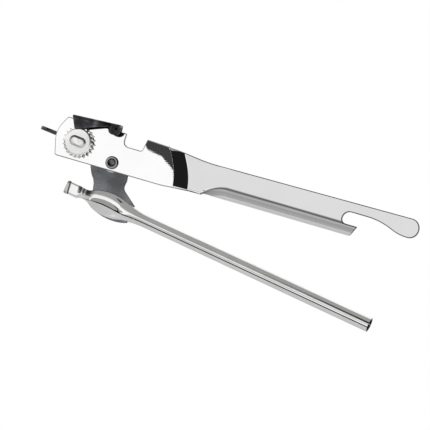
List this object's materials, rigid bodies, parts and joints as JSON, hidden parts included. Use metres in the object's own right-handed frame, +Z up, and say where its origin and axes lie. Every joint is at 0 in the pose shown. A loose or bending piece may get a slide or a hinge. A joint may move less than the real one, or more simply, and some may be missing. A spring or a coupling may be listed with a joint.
{
  "type": "manual can opener",
  "caption": "Hand can opener: stamped upper handle with bottle opener, rolled lower handle on a pivoted blade lever, and a toothed feed wheel turned by a butterfly key.",
  "frame": {"origin": "on the feed wheel's axis, at the front face of the upper handle's head", "axes": "+X along the upper handle from the head to its tip; +Z up, the blade being above the feed wheel; -Y is the side the feed wheel is on and +Y the side of the key"},
  "size_m": [0.1916, 0.0293, 0.0609],
  "materials": {
    "handle_plate": "bright nickel plate, mirror polished",
    "lever_plate": "satin plated, darker where it is folded",
    "handle_tube": "bright plate over rolled strip, drawn lengthwise",
    "wheel": "bright turned face, ground teeth",
    "shaft": "turned steel, peened at the front",
    "rivet": "headed steel rivet, dull in its recess",
    "key": "bright plate, rounded edges",
    "washer": "plated pressed steel",
    "bush": "turned steel, oiled bore"
  },
  "bodies": {
    "opener_frame": {"upper_handle": "handle_plate", "pivot_rivet": "rivet", "shaft_bush": "bush", "pivot_spacer": "washer", "pivot_washer": "washer"},
    "cutter_lever": {"blade_lever": "lever_plate", "lower_handle": "handle_tube"},
    "drive": {"feed_wheel": "wheel", "drive_shaft": "shaft", "turning_key": "key", "key_rivet": "rivet", "wheel_washer": "washer", "key_washer": "washer", "spring_washer": "washer"}
  },
  "joints": [
    {"name": "lever_pivot", "type": "hinge", "parent": "opener_frame", "child": "cutter_lever", "pos_m": [0.018, 0, -0.00495], "axis": [0, 1, 0], "range_deg": [0, 26]},
    {"name": "key_turn", "type": "hinge", "parent": "opener_frame", "child": "drive", "pos_m": [0, 0, 0], "axis": [0, 1, 0], "continuous": true}
  ]
}
